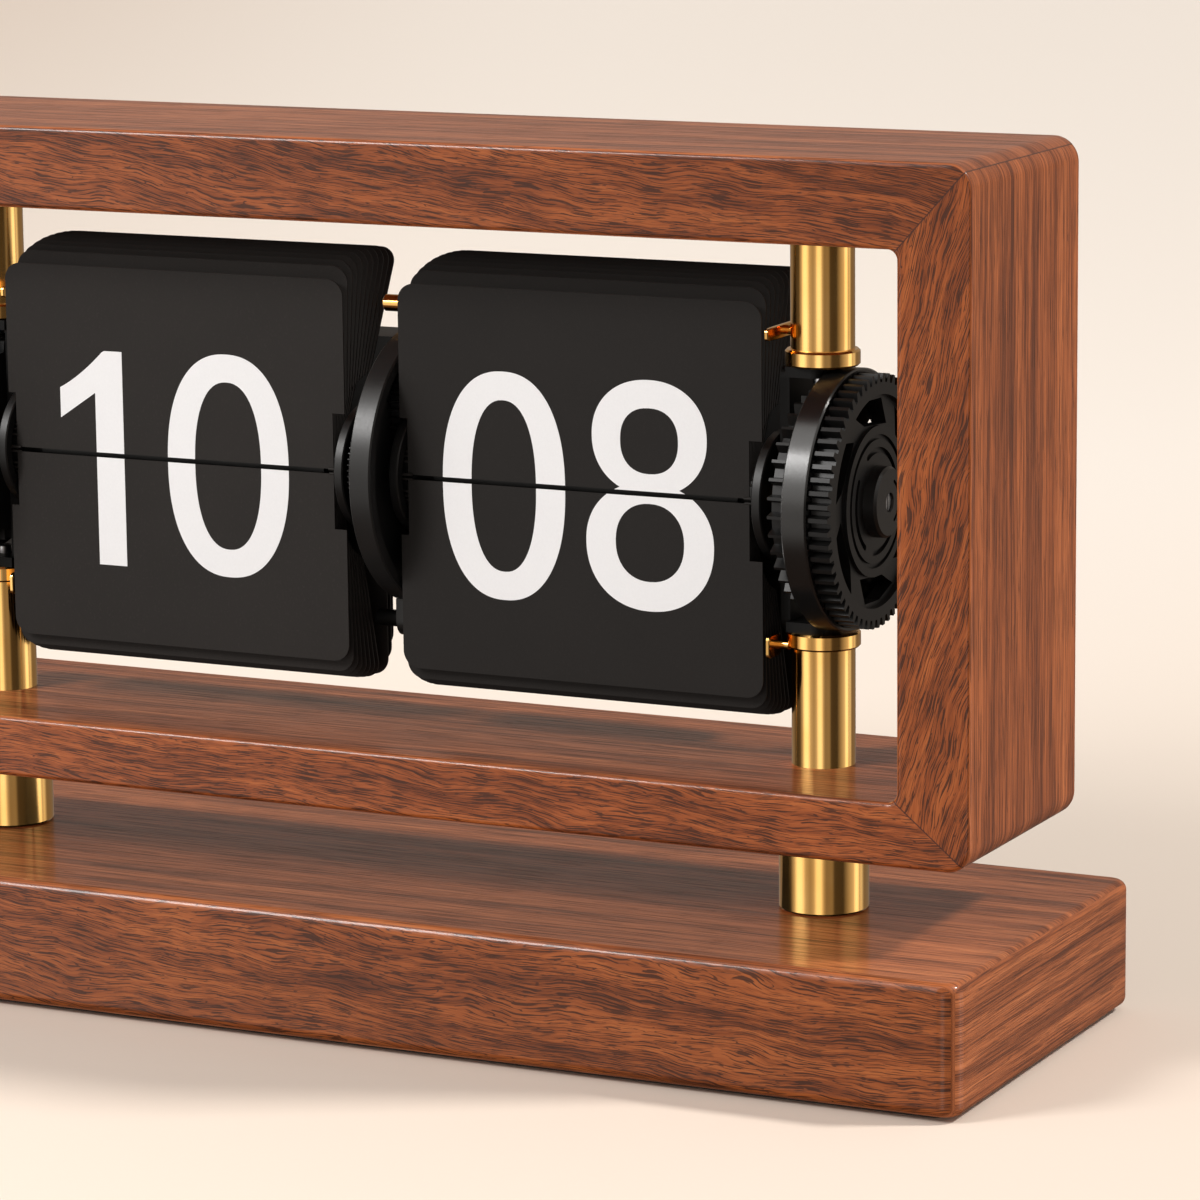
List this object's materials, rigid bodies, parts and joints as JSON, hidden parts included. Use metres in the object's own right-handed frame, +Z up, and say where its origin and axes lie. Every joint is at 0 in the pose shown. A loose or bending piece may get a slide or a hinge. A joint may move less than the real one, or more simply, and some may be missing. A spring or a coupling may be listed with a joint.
{
  "type": "flip clock",
  "caption": "Desk flip clock: mitred walnut frame on brass pillars over a walnut plinth, with drums of black flap leaves and open toothed wheels on a cross spindle.",
  "frame": {"origin": "bottom centre of the whole clock, on the surface it stands on", "axes": "+X along the spindle to the right as the dial is read, +Y to the back, +Z up; the dial faces -Y"},
  "size_m": [0.28, 0.092, 0.176],
  "materials": {
    "walnut": "oiled walnut, open grain",
    "felt": "dark felt",
    "brass": "polished, turned",
    "steel": "plain machined",
    "leaf_black": "matte charcoal card",
    "wheel_black": "satin moulded black",
    "bracket_black": "satin black paint",
    "housing_black": "fine spark-eroded texture",
    "cell_grey": "plain wrapped cell"
  },
  "bodies": {
    "case": {"base_plinth": "walnut", "frame_top_rail": "walnut", "frame_bottom_rail": "walnut", "frame_left_stile": "walnut", "frame_right_stile": "walnut", "foot_pad": "felt", "spacer_left": "brass", "spacer_right": "brass", "pillar_lower_left": "brass", "pillar_lower_right": "brass", "pillar_upper_left": "brass", "pillar_upper_right": "brass", "collars_left": "brass", "collars_right": "brass", "guide_bar_top": "brass", "bush_left": "brass", "bush_right": "brass", "fixing_screws": "steel", "spindle": "steel", "battery_contacts": "steel", "motor": "steel", "hour_leaves_upper": "leaf_black", "hour_leaves_lower": "leaf_black", "hour_leaves_rear": "leaf_black", "minute_leaves_upper": "leaf_black", "minute_leaves_lower": "leaf_black", "minute_leaves_rear": "leaf_black", "end_bracket_left": "bracket_black", "end_bracket_right": "bracket_black", "centre_plate": "bracket_black", "guide_bar_bottom": "bracket_black", "housing_shell": "housing_black", "housing_back": "housing_black", "battery_cells": "cell_grey"},
    "minute_drum": {"minute_sleeve": "brass", "minute_drum_core": "wheel_black", "minute_disc_inner": "wheel_black", "minute_disc_outer": "wheel_black", "minute_fine_wheel": "wheel_black", "minute_ring_wheel": "wheel_black", "minute_face_wheel": "wheel_black", "minute_knob": "wheel_black", "minute_knob_screw": "steel", "minute_transfer_wheel": "brass"},
    "hour_drum": {"hour_sleeve": "brass", "hour_drum_core": "wheel_black", "hour_disc_inner": "wheel_black", "hour_disc_outer": "wheel_black", "hour_fine_wheel": "wheel_black", "hour_ring_wheel": "wheel_black", "hour_face_wheel": "wheel_black", "hour_knob": "wheel_black", "hour_knob_screw": "steel", "hour_transfer_wheel": "brass"},
    "minute_flap": {"minute_leaf_falling": "leaf_black"},
    "hour_flap": {"hour_leaf_falling": "leaf_black"},
    "transfer": {"transfer_arbor": "brass"},
    "motor_rotor": {"motor_pinion": "steel"},
    "drive": {"drive_shaft": "steel"},
    "cover": {"battery_cover": "housing_black"}
  },
  "joints": [
    {"name": "minute_turn", "type": "hinge", "parent": "case", "child": "minute_drum", "pos_m": [0, 0, 0.1075], "axis": [1, 0, 0], "continuous": true},
    {"name": "hour_turn", "type": "hinge", "parent": "case", "child": "hour_drum", "pos_m": [0, 0, 0.1075], "axis": [1, 0, 0], "continuous": true},
    {"name": "transfer_turn", "type": "hinge", "parent": "case", "child": "transfer", "pos_m": [0, 0.00339, 0.12015], "axis": [1, 0, 0], "continuous": true},
    {"name": "drive_turn", "type": "hinge", "parent": "case", "child": "drive", "pos_m": [0, 0.02148, 0.09608], "axis": [1, 0, 0], "continuous": true},
    {"name": "motor_turn", "type": "hinge", "parent": "case", "child": "motor_rotor", "pos_m": [0, 0.02148, 0.10218], "axis": [1, 0, 0], "continuous": true},
    {"name": "minute_flip", "type": "hinge", "parent": "case", "child": "minute_flap", "pos_m": [0, -0.00959, 0.108], "axis": [1, 0, 0], "range_deg": [0, 178]},
    {"name": "hour_flip", "type": "hinge", "parent": "case", "child": "hour_flap", "pos_m": [0, -0.00959, 0.108], "axis": [1, 0, 0], "range_deg": [0, 178]},
    {"name": "cover_off", "type": "slide", "parent": "case", "child": "cover", "axis": [0, 1, 0], "range_m": [0, 0.012]}
  ],
  "couplings": [
    {"joint": "hour_turn", "follows": "minute_turn", "ratio": 0.041667},
    {"joint": "transfer_turn", "follows": "minute_turn", "ratio": -0.33333},
    {"joint": "drive_turn", "follows": "minute_turn", "ratio": -4.5},
    {"joint": "motor_turn", "follows": "minute_turn", "ratio": 9}
  ]
}
